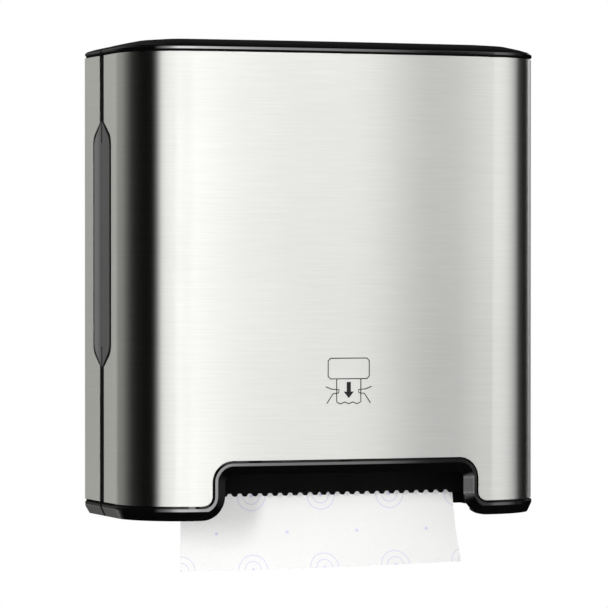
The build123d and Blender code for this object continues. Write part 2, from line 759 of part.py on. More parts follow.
def wall_screws(places, seat):
    """Pan-head screws driven towards the wall, their heads on a foot of thickness seat."""
    with BuildPart() as screws:
        with BuildSketch(Plane.XZ.offset(BACK_WALL - SCREW_TIP + SCREW_END)):
            with Locations(*places):
                Circle(SCREW_RADIUS)
        extrude(amount=SCREW_TIP - SCREW_END + seat)
        with BuildSketch(Plane.XZ.offset(BACK_WALL + seat)):
            with Locations(*places):
                Circle(SCREW_HEAD)
        extrude(amount=SCREW_HEAD_HEIGHT)
    return screws


write(wall_screws(CHEEK_SCREWS, CHEEK_THICK), "cheek_screws")
write(wall_screws(ARM_SCREWS, ARM_FOOT), "arm_screws")
write(wall_screws(STRIKE_SCREWS, STRIKE_PLATE), "strike_screws")

# Mechanism cheeks on either side of the drum, with the drum's bushes
for side, name in ((-1, "left"), (1, "right")):
    with BuildPart() as cheek:
        with BuildSketch(Plane.YZ.offset(side * CHEEK_X)):
            with BuildLine():
                Polyline(*CHEEK_OUTLINE, close=True)
            make_face()
            with Locations((DRUM_Y, DRUM_Z)):
                Circle(BUSH_RADIUS + FIT, mode=Mode.SUBTRACT)
            with Locations(PINCH_PIVOT):
                Circle(PINCH_SHAFT + FIT, mode=Mode.SUBTRACT)
            with Locations(TEAR_SCREW):
                Circle(SCREW_RADIUS + FIT, mode=Mode.SUBTRACT)
        extrude(amount=side * CHEEK_THICK)
        for z in FOOT_PLACES:
            block(
                (side * CHEEK_X, -BACK_WALL - CHEEK_THICK, z - FOOT_HEIGHT / 2),
                (side * (CHEEK_X + FOOT_WIDTH), -BACK_WALL, z + FOOT_HEIGHT / 2),
            )
        with BuildSketch(Plane.XZ):
            with Locations(*[(side * FOOT_SCREW_X, z) for z in FOOT_PLACES]):
                Circle(SCREW_RADIUS + FIT)
        extrude(amount=BACK_WALL + 2 * CHEEK_THICK, mode=Mode.SUBTRACT)
    write(cheek, f"cheek_{name}")

    with BuildPart() as drum_bush:
        outer = CHEEK_X + CHEEK_THICK
        rod(side * (CHEEK_X - BUSH_NOSE), side * outer, DRUM_Y, DRUM_Z, BUSH_RADIUS)
        rod(side * outer, side * (outer + BUSH_FLANGE), DRUM_Y, DRUM_Z, BUSH_FLANGE_RADIUS)
        bore(DRUM_Y, DRUM_Z, SHAFT_RADIUS + SHAFT_FIT)
    write(drum_bush, f"drum_bush_{name}")

# Chute behind the towel, with a shelf under the drum
with BuildPart() as chute_panel:
    chute_half = CHEEK_X - FIT
    block((-chute_half, CHUTE_Y, CHUTE_BOTTOM), (chute_half, CHUTE_Y + CHUTE_THICK, CHUTE_TOP))
    block((-chute_half, CHUTE_Y, CHUTE_BOTTOM), (chute_half, CHUTE_BACK, CHUTE_BOTTOM + CHUTE_THICK))
write(chute_panel, "chute_panel")

# Tear bar: a toothed panel in front of the towel
with BuildPart() as tear_bar:
    with BuildSketch(Plane.XZ.offset(-TEAR_Y)) as panel:
        with Locations((0, (TEAR_TOP + TEETH_Z) / 2)):
            Rectangle(2 * (CHEEK_X - FIT), TEAR_TOP - TEETH_Z)
        for x, gap in TOOTH_GAPS:
            with Locations((-x, TEETH_Z), (x, TEETH_Z)):
                Trapezoid(
                    gap,
                    TOOTH_HEIGHT,
                    TOOTH_ANGLE,
                    align=(Align.CENTER, Align.MIN),
                    mode=Mode.SUBTRACT,
                )
        roots = [v for v in panel.vertices() if abs(v.Z - TEETH_Z - TOOTH_HEIGHT) < 0.01]
        fillet(roots, TOOTH_ROOT)
        tips = [v for v in panel.vertices() if abs(v.Z - TEETH_Z) < 0.01 and abs(v.X) < NOTCH_HALF]
        fillet(tips, TOOTH_TIP)
    extrude(amount=TEAR_THICK)
    for side in (-1, 1):
        block(
            (side * (CHEEK_X - TAB_WIDTH), TEAR_Y, TAB_Z[0]),
            (side * (CHEEK_X - FIT), TEAR_Y + TAB_DEPTH, TAB_Z[1]),
        )
        rod(side * TEAR_HOLE_X, side * (CHEEK_X + FIT), *TEAR_SCREW, SCREW_RADIUS + FIT, Mode.SUBTRACT)
write(tear_bar, "tear_bar")

with BuildPart() as tear_bar_screws:
    for side in (-1, 1):
        outer = CHEEK_X + CHEEK_THICK
        rod(side * TEAR_SCREW_X, side * outer, *TEAR_SCREW, SCREW_RADIUS)
        rod(side * outer, side * (outer + SCREW_HEAD_HEIGHT), *TEAR_SCREW, SCREW_HEAD)
write(tear_bar_screws, "tear_bar_screws")

# Feed drum with rubber grip rings, shaft, clip and hand wheel
with BuildPart() as feed_drum:
    hollow_half = DRUM_HALF - DRUM_END
    rod(-DRUM_HALF, DRUM_HALF, DRUM_Y, DRUM_Z, DRUM_BODY_RADIUS)
    rod(-hollow_half, hollow_half, DRUM_Y, DRUM_Z, DRUM_BODY_RADIUS - DRUM_WALL, Mode.SUBTRACT)
    bore(DRUM_Y, DRUM_Z, SHAFT_RADIUS + FIT)
write(feed_drum, "feed_drum")

with BuildPart() as drum_grip_rings:
    for place in GRIP_PLACES:
        rod(place - GRIP_WIDTH / 2, place + GRIP_WIDTH / 2, DRUM_Y, DRUM_Z, DRUM_RADIUS)
    bore(DRUM_Y, DRUM_Z, DRUM_BODY_RADIUS + FIT)
write(drum_grip_rings, "drum_grip_rings")

with BuildPart() as drum_shaft:
    rod(SHAFT_LEFT, WHEEL_X + WHEEL_WIDTH, DRUM_Y, DRUM_Z, SHAFT_RADIUS)
write(drum_shaft, "drum_shaft")

with BuildPart() as shaft_clip:
    rod(*CLIP_X, DRUM_Y, DRUM_Z, CLIP_RADIUS)
    bore(DRUM_Y, DRUM_Z, SHAFT_RADIUS + FIT)
write(shaft_clip, "shaft_clip")

with BuildPart() as feed_wheel:
    with BuildSketch(Plane.YZ.offset(WHEEL_X)):
        with Locations((DRUM_Y, DRUM_Z)):
            Circle(WHEEL_RADIUS)
            with PolarLocations(WHEEL_RADIUS + SCALLOP_OUT, SCALLOP_COUNT):
                Circle(SCALLOP_RADIUS, mode=Mode.SUBTRACT)
    extrude(amount=WHEEL_WIDTH)
    with BuildSketch(Plane.YZ.offset(WHEEL_X + WHEEL_WEB)):
        with Locations((DRUM_Y, DRUM_Z)):
            Circle(WHEEL_RADIUS - WHEEL_RIM)
            Circle(WHEEL_BOSS, mode=Mode.SUBTRACT)
    extrude(amount=WHEEL_WIDTH, mode=Mode.SUBTRACT)
    rod(WHEEL_X - WHEEL_NECK_LENGTH, WHEEL_X, DRUM_Y, DRUM_Z, WHEEL_NECK)
    bore(DRUM_Y, DRUM_Z, SHAFT_RADIUS + FIT)
write(feed_wheel, "feed_wheel")

# Pinch roller in its sprung yoke
with BuildPart() as pinch_shaft:
    rod(-PINCH_END, PINCH_END, PINCH_Y, PINCH_Z, PINCH_SHAFT)
write(pinch_shaft, "pinch_shaft")

with BuildPart() as pinch_sleeves:
    for place in GRIP_PLACES:
        rod(place - SLEEVE_WIDTH / 2, place + SLEEVE_WIDTH / 2, PINCH_Y, PINCH_Z, PINCH_RADIUS)
    bore(PINCH_Y, PINCH_Z, PINCH_SHAFT + FIT)
write(pinch_sleeves, "pinch_sleeves")

arm_run = math.hypot(PINCH_Y - PINCH_PIVOT[0], PINCH_Z - PINCH_PIVOT[1])
arm_turn = math.degrees(math.atan2(PINCH_Z - PINCH_PIVOT[1], PINCH_Y - PINCH_PIVOT[0]))
for side, name in ((-1, "left"), (1, "right")):
    with BuildPart() as pinch_arm:
        with BuildSketch(Plane.YZ.offset(side * YOKE_X)):
            with Locations(((PINCH_Y + PINCH_PIVOT[0]) / 2, (PINCH_Z + PINCH_PIVOT[1]) / 2)):
                SlotCenterToCenter(arm_run, YOKE_WIDTH, rotation=arm_turn)
            with Locations(TIE_BAR):
                Circle(TIE_BOSS)
            with Locations(PINCH_PIVOT, (PINCH_Y, PINCH_Z)):
                Circle(PINCH_SHAFT + PINCH_FIT, mode=Mode.SUBTRACT)
            with Locations(TIE_BAR):
                Circle(TIE_RADIUS + FIT, mode=Mode.SUBTRACT)
        extrude(amount=side * YOKE_THICK)
    write(pinch_arm, f"pinch_arm_{name}")

with BuildPart() as pinch_tie_bar:
    rod(-YOKE_X - YOKE_THICK, YOKE_X + YOKE_THICK, *TIE_BAR, TIE_RADIUS)
write(pinch_tie_bar, "pinch_tie_bar")

with BuildPart() as pinch_pivot_rod:
    rod(-CHEEK_X - CHEEK_THICK, CHEEK_X + CHEEK_THICK, *PINCH_PIVOT, PINCH_SHAFT)
write(pinch_pivot_rod, "pinch_pivot_rod")

with BuildPart() as pinch_springs:
    for side in (-1, 1):
        rod(side * PINCH_SPRING_X[0], side * PINCH_SPRING_X[1], *PINCH_PIVOT, PINCH_SPRING_RADII[0])
    bore(*PINCH_PIVOT, PINCH_SPRING_RADII[1])
write(pinch_springs, "pinch_springs")

# Towel roll on its cardboard core
with BuildPart() as paper_roll:
    rod(-ROLL_HALF, ROLL_HALF, ROLL_Y, ROLL_Z, ROLL_RADIUS)
    bore(ROLL_Y, ROLL_Z, CORE_RADIUS + CORE_FIT)
write(paper_roll, "paper_roll")

with BuildPart() as roll_core:
    rod(-ROLL_HALF, ROLL_HALF, ROLL_Y, ROLL_Z, CORE_RADIUS)
    bore(ROLL_Y, ROLL_Z, CORE_BORE)
write(roll_core, "roll_core")


def roll_arm(side):
    """A bracket from the wall to the roll's axis, with a foot for two screws."""
    with BuildPart() as arm:
        with BuildSketch(Plane.YZ.offset(side * ARM_X)):
            with Locations((ROLL_Y, ROLL_Z)):
                Circle(ARM_RADIUS)
            with Locations(((ROLL_Y - BACK_WALL) / 2, ROLL_Z)):
                Rectangle(-ROLL_Y - BACK_WALL, 2 * ARM_RADIUS)
        extrude(amount=side * ARM_THICK)
        block(
            (side * ARM_X, -BACK_WALL - ARM_FOOT, ROLL_Z - ARM_FOOT_HALF),
            (side * (ARM_X + FOOT_WIDTH), -BACK_WALL, ROLL_Z + ARM_FOOT_HALF),
        )
        with BuildSketch(Plane.XZ):
            with Locations(*[(side * FOOT_SCREW_X, z) for z in ARM_SCREW_PLACES]):
                Circle(SCREW_RADIUS + FIT)
        extrude(amount=BACK_WALL + 2 * ARM_FOOT, mode=Mode.SUBTRACT)
        if side > 0:
            rod(SLEEVE_START, SLEEVE_END, ROLL_Y, ROLL_Z, HUB_RADIUS + SLEEVE_WALL)
            rod(0, SLEEVE_END - SLEEVE_CAP, ROLL_Y, ROLL_Z, HUB_RADIUS + HUB_FIT, Mode.SUBTRACT)
            bore(ROLL_Y, ROLL_Z, SHAFT_RADIUS + LOCK_FIT)
    return arm


for side, name in ((-1, "left"), (1, "right")):
    write(roll_arm(side), f"roll_arm_{name}")

with BuildPart() as roll_hub:
    rod(-ARM_X, -HUB_REACH, ROLL_Y, ROLL_Z, HUB_RADIUS)
    rod(-ARM_X, -HUB_REACH - HUB_WALL, ROLL_Y, ROLL_Z, HUB_RADIUS - HUB_WALL, Mode.SUBTRACT)
    chamfer(roll_hub.edges().filter_by(GeomType.CIRCLE).sort_by(Axis.X)[-1:], HUB_CHAMFER)
write(roll_hub, "roll_hub")

with BuildPart() as hub_plunger:
    rod(HUB_REACH, SLEEVE_START, ROLL_Y, ROLL_Z, HUB_RADIUS)
    rod(HUB_REACH + HUB_WALL, ARM_X, ROLL_Y, ROLL_Z, HUB_RADIUS - HUB_WALL, Mode.SUBTRACT)
    chamfer(hub_plunger.edges().filter_by(GeomType.CIRCLE).sort_by(Axis.X)[:1], HUB_CHAMFER)
    rod(HUB_REACH + HUB_WALL, KNOB_BORE_END, ROLL_Y, ROLL_Z, SHAFT_RADIUS)
write(hub_plunger, "hub_plunger")

with BuildPart() as plunger_knob:
    rod(*KNOB_X, ROLL_Y, ROLL_Z, KNOB_RADIUS)
    rod(SLEEVE_END, KNOB_BORE_END, ROLL_Y, ROLL_Z, SHAFT_RADIUS + FIT, Mode.SUBTRACT)
    chamfer(plunger_knob.edges().filter_by(GeomType.CIRCLE).sort_by(Axis.X)[-1:], KNOB_CHAMFER)
write(plunger_knob, "plunger_knob")

with BuildPart() as plunger_spring:
    rod(*SPRING_X, ROLL_Y, ROLL_Z, SPRING_RADII[0])
    bore(ROLL_Y, ROLL_Z, SPRING_RADII[1])
write(plunger_spring, "plunger_spring")

# Towel from the back of the roll, between drum and pinch roller, and out past the tear bar
with BuildPart() as towel_tail:
    with BuildSketch(Plane.YZ.offset(-TOWEL_HALF)):
        with BuildLine():
            web = Line(
                (ROLL_Y - TOWEL_ROLL_RADIUS * NORMAL_Y, ROLL_Z - TOWEL_ROLL_RADIUS * NORMAL_Z),
                (DRUM_Y + TOWEL_DRUM_RADIUS * NORMAL_Y, DRUM_Z + TOWEL_DRUM_RADIUS * NORMAL_Z),
            )
            wrap = TangentArc(web @ 1, (DRUM_Y - TOWEL_DRUM_RADIUS, DRUM_Z), tangent=web % 1)
            drop = Line(wrap @ 1, (DRUM_Y - TOWEL_DRUM_RADIUS, TOWEL_BEND_Z))
            TangentArc(drop @ 1, (TOWEL_END_Y, TOWEL_END_Z), tangent=drop % 1)
        trace(line_width=TOWEL_THICK)
    extrude(amount=2 * TOWEL_HALF)
write(towel_tail, "towel_tail")

print(f"towel sheet leans {math.degrees(WEB_LEAN):.2f} degrees, pinch axis at {PINCH_Y:.2f}, {PINCH_Z:.2f}")
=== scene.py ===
"""Looks of a wall-hung roll towel dispenser: brushed steel cover, gloss black caps, smoked side windows.

Every rigid piece is a copy of its CAD node with its edges broken. The towel, the roll and the springs are
modelled here. Lengths are in metres, in the CAD frame: X right, Y towards the wall, Z up.
"""
import json
import math

import bmesh
import bpy
from mathutils import Matrix, Vector
from mathutils.bvhtree import BVHTree

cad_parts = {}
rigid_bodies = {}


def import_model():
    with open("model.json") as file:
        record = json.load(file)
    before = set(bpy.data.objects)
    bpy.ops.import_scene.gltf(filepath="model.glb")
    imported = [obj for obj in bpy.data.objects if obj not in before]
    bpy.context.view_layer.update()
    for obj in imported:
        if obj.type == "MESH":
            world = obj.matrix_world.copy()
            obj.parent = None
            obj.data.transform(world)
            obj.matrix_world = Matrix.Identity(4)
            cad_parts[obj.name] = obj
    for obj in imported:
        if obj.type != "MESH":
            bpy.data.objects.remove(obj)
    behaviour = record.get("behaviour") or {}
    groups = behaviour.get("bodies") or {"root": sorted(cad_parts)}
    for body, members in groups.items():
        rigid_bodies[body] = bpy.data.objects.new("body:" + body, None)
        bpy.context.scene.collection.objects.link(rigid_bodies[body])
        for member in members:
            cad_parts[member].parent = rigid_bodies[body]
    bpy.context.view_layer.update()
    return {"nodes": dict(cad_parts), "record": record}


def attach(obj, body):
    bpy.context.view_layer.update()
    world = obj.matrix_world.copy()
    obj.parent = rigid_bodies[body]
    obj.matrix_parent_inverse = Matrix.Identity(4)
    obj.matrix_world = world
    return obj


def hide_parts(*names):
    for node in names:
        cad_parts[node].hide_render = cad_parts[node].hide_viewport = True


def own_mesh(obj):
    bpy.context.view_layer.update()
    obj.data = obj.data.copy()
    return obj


for spare in list(bpy.data.objects):
    bpy.data.objects.remove(spare)
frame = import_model()

MM = 0.001
BODY_OF = {node: body for body, nodes in frame["record"]["behaviour"]["bodies"].items() for node in nodes}
SLOT_OF = {part["node"]: part["material_slot"] for part in frame["record"]["subparts"]}


class Shade:
    """A socket of a node tree. Arithmetic on it adds Math nodes, and node() adds any other node."""

    def __init__(self, tree, socket=None):
        self.tree = tree
        self.socket = socket

    def node(self, kind, settings=None, sockets=None, output=0):
        made = self.tree.nodes.new(kind)
        for name, value in (settings or {}).items():
            if name == "stops":
                self.set_stops(made.color_ramp, value)
            else:
                setattr(made, name, value)
        for name, value in (sockets or {}).items():
            if isinstance(value, Shade):
                self.tree.links.new(value.socket, made.inputs[name])
            else:
                made.inputs[name].default_value = value
        return Shade(self.tree, made.outputs[output] if made.outputs else None)

    @staticmethod
    def set_stops(ramp, stops):
        while len(ramp.elements) < len(stops):
            ramp.elements.new(1.0)
        for element, (position, value) in zip(ramp.elements, stops):
            element.position = position
            element.color = value if isinstance(value, tuple) else (value, value, value, 1)

    def math(self, operation, *values):
        return self.node("ShaderNodeMath", {"operation": operation}, dict(enumerate(values)))

    def __add__(self, other):
        return self.math("ADD", self, other)

    def __sub__(self, other):
        return self.math("SUBTRACT", self, other)

    def __rsub__(self, other):
        return self.math("SUBTRACT", other, self)

    def __mul__(self, other):
        return self.math("MULTIPLY", self, other)

    def __truediv__(self, other):
        return self.math("DIVIDE", self, other)

    def __lt__(self, other):
        return self.math("LESS_THAN", self, other)

    def __gt__(self, other):
        return self.math("GREATER_THAN", self, other)

    __radd__ = __add__
    __rmul__ = __mul__

    def axes(self, vector):
        """X, Y and Z of a vector."""
        parts = self.node("ShaderNodeSeparateXYZ", sockets={"Vector": vector})
        outputs = parts.socket.node.outputs
        return [Shade(self.tree, outputs[axis]) for axis in "XYZ"]

    def place(self, scale=(1, 1, 1), turn=(0, 0, 0)):
        """Object coordinates, turned and stretched."""
        rest = self.node("ShaderNodeTexCoord", output="Object")
        return self.node("ShaderNodeMapping", sockets={"Vector": rest, "Rotation": turn, "Scale": scale})

    def noise(self, where, scale, detail=2.0, roughness=0.5):
        sockets = {"Vector": where, "Scale": scale, "Detail": detail, "Roughness": roughness}
        return self.node("ShaderNodeTexNoise", sockets=sockets)

    def ramp(self, value, stops):
        return self.node("ShaderNodeValToRGB", {"stops": stops}, {"Fac": value})

    def blend(self, factor, first, second):
        """A colour between two colours."""
        sockets = {"Factor": factor, 6: first, 7: second}
        return self.node("ShaderNodeMix", {"data_type": "RGBA"}, sockets, output=2)

    def bump(self, height, depth):
        sockets = {"Height": height, "Distance": depth, "Strength": 1.0}
        return self.node("ShaderNodeBump", sockets=sockets)

    def surface(self, **sockets):
        named = {name.replace("_", " "): value for name, value in sockets.items()}
        return self.node("ShaderNodeBsdfPrincipled", sockets=named)


def finish(name, build):
    """A material whose surface build() makes."""
    material = bpy.data.materials.new(name)
    material.use_nodes = True
    material.node_tree.nodes.clear()
    shade = Shade(material.node_tree)
    shade.node("ShaderNodeOutputMaterial", sockets={"Surface": build(shade)})
    return material


def grey(value):
    return (value, value, value, 1)


# Finishes
BRUSH_STRETCH = (22, 22, 1500)


def brushed_steel(shade):
    """Horizontal brush lines: reflections spread up and down and stay crisp sideways."""
    lines = shade.noise(shade.place(BRUSH_STRETCH), 1.0, 3.0, 0.6)
    clouds = shade.noise(shade.place(), 9.0, 2.0)
    tone = lines * 0.7 + clouds * 0.3
    colour = shade.ramp(tone, ((0.25, (0.57, 0.575, 0.555, 1)), (0.75, (0.67, 0.675, 0.65, 1))))
    return shade.surface(
        Base_Color=colour,
        Metallic=1.0,
        Roughness=lines * 0.1 + 0.29,
        Anisotropic=1.0,
        Anisotropic_Rotation=0.25,
        Normal=shade.bump(lines, 0.004 * MM),
    )


SEAM_Y = -43 * MM
SEAM_PAINTED_SHADE = 2.2 * MM


def gloss_black(shade):
    """Polished black moulding, with the faint waviness of a moulded gloss face, and painted shade along the
    seam: a matt black there.
    """
    waves = shade.noise(shade.place(), 28.0, 1.0)
    haze = shade.noise(shade.place(), 260.0, 3.0)
    _, depth, _ = shade.axes(shade.place())
    colour = shade.ramp(haze, ((0.3, grey(0.0015)), (0.7, grey(0.0025))))
    gloss = shade.surface(
        Base_Color=colour, Roughness=haze * 0.05 + 0.055, IOR=1.7, Normal=shade.bump(waves, 0.02 * MM)
    )
    matt = shade.surface(Base_Color=colour, Roughness=haze * 0.1 + 0.5, Specular_IOR_Level=0.03)
    # Painted shade: near the seam the gloss gives way to a matt, faintly specular black, so that the recess
    # reads as in shadow.
    seam = shade.math("ABSOLUTE", depth - SEAM_Y) < SEAM_PAINTED_SHADE
    return shade.node("ShaderNodeMixShader", sockets={0: seam, 1: gloss, 2: matt})


def casing_black(shade):
    """Spark-eroded black moulding."""
    pits = shade.noise(shade.place(), 1900.0, 3.0, 0.65)
    clouds = shade.noise(shade.place(), 24.0, 2.0)
    return shade.surface(
        Base_Color=shade.ramp(clouds, ((0.3, grey(0.003)), (0.7, grey(0.005)))),
        Roughness=pits * 0.16 + 0.42,
        Specular_IOR_Level=0.06,
        Normal=shade.bump(pits, 0.05 * MM),
    )


def matt_black_painted_shade(shade):
    """Matt black with painted shade, for the pieces round the towel's outlet: its specular is cut low so that
    they sink into shadow behind the towel.
    """
    pits = shade.noise(shade.place(), 1900.0, 3.0, 0.65)
    clouds = shade.noise(shade.place(), 24.0, 2.0)
    return shade.surface(
        Base_Color=shade.ramp(clouds, ((0.3, grey(0.002)), (0.7, grey(0.004)))),
        Roughness=pits * 0.16 + 0.5,
        Specular_IOR_Level=0.03,
        Normal=shade.bump(pits, 0.05 * MM),
    )


PAINTED_SHEEN_BELOW_Z = -174.6 * MM
PAINTED_SHEEN_ABOVE_Z = -143.4 * MM
PAINTED_SHEEN_AHEAD_Y = -70 * MM


def groove_black(shade):
    """Painted shade in the groove along the steel: a matt black, with a painted sheen on its level runs in
    the bottom trim.
    """
    pits = shade.noise(shade.place(), 1900.0, 3.0, 0.65)
    clouds = shade.noise(shade.place(), 24.0, 2.0)
    _, depth, height = shade.axes(shade.place())
    # Painted sheen: a coat only on the level runs of the groove near the front, placed by height and depth.
    level = (height < PAINTED_SHEEN_BELOW_Z) + (height > PAINTED_SHEEN_ABOVE_Z) * (height < 0.0)
    return shade.surface(
        Base_Color=shade.ramp(clouds, ((0.3, grey(0.002)), (0.7, grey(0.004)))),
        Roughness=pits * 0.16 + 0.5,
        Specular_IOR_Level=0.03,
        Coat_Weight=level * (depth < PAINTED_SHEEN_AHEAD_Y) * 0.25,
        Coat_Roughness=0.12,
    )


PAINTED_SHADE_STEP_Y = (-41 * MM, -31.5 * MM)
SLIT_SHADOW_HALF = 1.5 * MM
SLIT_SHADOW_Z = (-53.5 * MM, 106 * MM)


def smoked_window(shade):
    """Smoked lens with fine moulding haze, painted shade that darkens it ahead of a step, and a painted
    shadow beside the slit at its two points.
    """
    haze = shade.noise(shade.place(), 320.0, 3.0)
    streaks = shade.noise(shade.place((1, 900, 4)), 1.0, 3.0)
    _, depth, height = shade.axes(shade.place())
    # Painted shadow of the slit: a near-black band beside it, at its two points only.
    at_points = (height < SLIT_SHADOW_Z[0]) + (height > SLIT_SHADOW_Z[1])
    slit = (shade.math("ABSOLUTE", depth - SEAM_Y) < SLIT_SHADOW_HALF) * at_points
    # Painted shade: the lens goes from a darker grey ahead of the step to a lighter one behind it.
    first, last = PAINTED_SHADE_STEP_Y
    rear = shade.math("MINIMUM", shade.math("MAXIMUM", (depth - first) / (last - first), 0.0), 1.0)
    tint = shade.blend(rear, grey(0.065), grey(0.155))
    lens = shade.blend(haze * 0.15 + streaks * 0.2, tint, grey(0.15))
    return shade.surface(
        Base_Color=shade.blend(slit, lens, grey(0.012)),
        Roughness=haze * 0.08 + 0.2,
        IOR=1.5,
        Specular_IOR_Level=0.25,
    )


def mechanism_grey(shade):
    """Light grey feed mouldings with a matt skin."""
    pits = shade.noise(shade.place(), 1300.0, 3.0, 0.6)
    clouds = shade.noise(shade.place(), 18.0, 2.0)
    return shade.surface(
        Base_Color=shade.ramp(clouds, ((0.3, (0.33, 0.34, 0.35, 1)), (0.7, (0.38, 0.39, 0.40, 1)))),
        Roughness=pits * 0.16 + 0.40,
        Normal=shade.bump(pits, 0.04 * MM),
    )


def clip_grey(shade):
    """Darker grey moulding of the clip at the left foot."""
    pits = shade.noise(shade.place(), 1300.0, 3.0, 0.6)
    return shade.surface(
        Base_Color=shade.ramp(pits, ((0.3, grey(0.14)), (0.7, grey(0.17)))),
        Roughness=pits * 0.16 + 0.5,
        Normal=shade.bump(pits, 0.04 * MM),
    )


def feed_wheel_grey(shade):
    """Blue-grey hand wheel, so that a user sees what to turn."""
    pits = shade.noise(shade.place(), 1300.0, 3.0, 0.6)
    clouds = shade.noise(shade.place(), 30.0, 2.0)
    return shade.surface(
        Base_Color=shade.ramp(clouds, ((0.3, (0.16, 0.22, 0.30, 1)), (0.7, (0.19, 0.26, 0.34, 1)))),
        Roughness=pits * 0.14 + 0.34,
        Normal=shade.bump(pits, 0.04 * MM),
    )


def rubber(shade):
    """Dull black grip rubber with a bloom of dust from the paper."""
    pits = shade.noise(shade.place(), 900.0, 4.0, 0.7)
    bloom = shade.noise(shade.place(), 60.0, 3.0)
    return shade.surface(
        Base_Color=shade.ramp(bloom, ((0.35, grey(0.018)), (0.75, grey(0.045)))),
        Roughness=pits * 0.15 + 0.72,
        Normal=shade.bump(pits, 0.12 * MM),
    )


def shaft_steel(shade):
    """Ground steel: fine rings round the shafts, which all lie along X."""
    rings = shade.noise(shade.place((1800, 20, 20)), 1.0, 2.0)
    return shade.surface(
        Base_Color=shade.ramp(rings, ((0.3, grey(0.50)), (0.7, grey(0.60)))),
        Metallic=1.0,
        Roughness=rings * 0.12 + 0.20,
        Normal=shade.bump(rings, 0.004 * MM),
    )


def zinc(shade):
    """Zinc-plated screws with the cloudy shift of a passivated coat."""
    clouds = shade.noise(shade.place(), 240.0, 3.0)
    tones = ((0.3, (0.52, 0.54, 0.57, 1)), (0.5, (0.62, 0.62, 0.60, 1)), (0.7, (0.56, 0.57, 0.62, 1)))
    colour = shade.ramp(clouds, tones)
    return shade.surface(Base_Color=colour, Metallic=1.0, Roughness=clouds * 0.2 + 0.22)


def lock_metal(shade):
    """Nickel-plated lock parts."""
    clouds = shade.noise(shade.place(), 180.0, 3.0)
    turning = shade.noise(shade.place((20, 20, 1600)), 1.0, 2.0)
    return shade.surface(
        Base_Color=shade.ramp(clouds, ((0.3, (0.58, 0.56, 0.52, 1)), (0.7, (0.66, 0.64, 0.60, 1)))),
        Metallic=1.0,
        Roughness=turning * 0.14 + 0.16,
        Normal=shade.bump(turning, 0.003 * MM),
    )


ROLL_AXIS = (-66 * MM, 62 * MM)
WRAP_PITCH = 0.75 * MM


def paper_sides(shade):
    """The wound roll: rings of wraps on its ends, embossed paper round it."""
    _, y, z = shade.axes(shade.place())
    across = y - ROLL_AXIS[0]
    up = z - ROLL_AXIS[1]
    radius = shade.math("SQRT", across * across + up * up)
    drift = shade.noise(shade.place(), 40.0, 2.0)
    wraps = shade.math("SINE", (radius / WRAP_PITCH + drift) * (2 * math.pi)) * 0.5 + 0.5
    fibres = shade.noise(shade.place(), 700.0, 4.0, 0.65)
    tone = wraps * 0.35 + fibres * 0.65
    return shade.surface(
        Base_Color=shade.ramp(tone, ((0.2, (0.76, 0.76, 0.74, 1)), (0.7, (0.86, 0.86, 0.85, 1)))),
        Roughness=0.92 - fibres * 0.1,
        Normal=shade.bump(tone, 0.25 * MM),
    )


PRINT_PITCH = 58 * MM
RING_RADII = (11.5 * MM, 6.5 * MM)
RING_LINE = 0.6 * MM
DOT_RADIUS = 1.3 * MM
EMBOSS_PITCH = 2.6 * MM
TOWEL_WIDTH = 228 * MM
TOWEL_LENGTH = 283 * MM
INK = (0.60, 0.60, 0.82, 1)


def towel_paper(shade):
    """White embossed paper with a plain printed lattice of rings and dots, on the sheet's own UV map."""
    flat = shade.node("ShaderNodeTexCoord", output="UV")
    u, v, _ = shade.axes(flat)
    across = u * TOWEL_WIDTH
    along = v * TOWEL_LENGTH

    def lattice(shift):
        """Distance from the nearest point of a square lattice."""
        x = shade.math("WRAP", across + shift, PRINT_PITCH / 2, -PRINT_PITCH / 2)
        y = shade.math("WRAP", along + shift, PRINT_PITCH / 2, -PRINT_PITCH / 2)
        return shade.math("SQRT", x * x + y * y)

    to_ring = lattice(0.0)
    ink = shade.math("MAXIMUM", to_ring < DOT_RADIUS, lattice(PRINT_PITCH / 2) < DOT_RADIUS)
    for radius in RING_RADII:
        ink = shade.math("MAXIMUM", ink, shade.math("ABSOLUTE", to_ring - radius) < RING_LINE / 2)
    fibres = shade.noise(flat, 420.0, 4.0, 0.65)
    wave_u = shade.math("SINE", across * (2 * math.pi / EMBOSS_PITCH))
    wave_v = shade.math("SINE", along * (2 * math.pi / EMBOSS_PITCH))
    emboss = wave_u * wave_v
    sheet = shade.ramp(fibres, ((0.25, (0.845, 0.845, 0.84, 1)), (0.75, (0.885, 0.885, 0.88, 1))))
    return shade.surface(
        Base_Color=shade.blend(ink * (fibres * 0.5 + 0.55), sheet, INK),
        Roughness=0.95 - fibres * 0.1,
        Normal=shade.bump(emboss + fibres * 0.8, 0.05 * MM),
    )


def cardboard(shade):
    """Grey-brown core board with its spiral seam's fibres."""
    fibres = shade.noise(shade.place((200, 900, 900), turn=(0.5, 0, 0)), 1.0, 4.0, 0.65)
    return shade.surface(
        Base_Color=shade.ramp(fibres, ((0.3, (0.30, 0.23, 0.16, 1)), (0.7, (0.42, 0.33, 0.24, 1)))),
        Roughness=0.9 - fibres * 0.1,
        Normal=shade.bump(fibres, 0.08 * MM),
    )


def mark_grey(shade):
    """Screen-printed ink of the usage mark."""
    grain = shade.noise(shade.place(), 1500.0, 2.0)
    colour = shade.ramp(grain, ((0.3, grey(0.012)), (0.7, grey(0.02))))
    return shade.surface(Base_Color=colour, Roughness=grain * 0.2 + 0.5, Specular_IOR_Level=0.1)


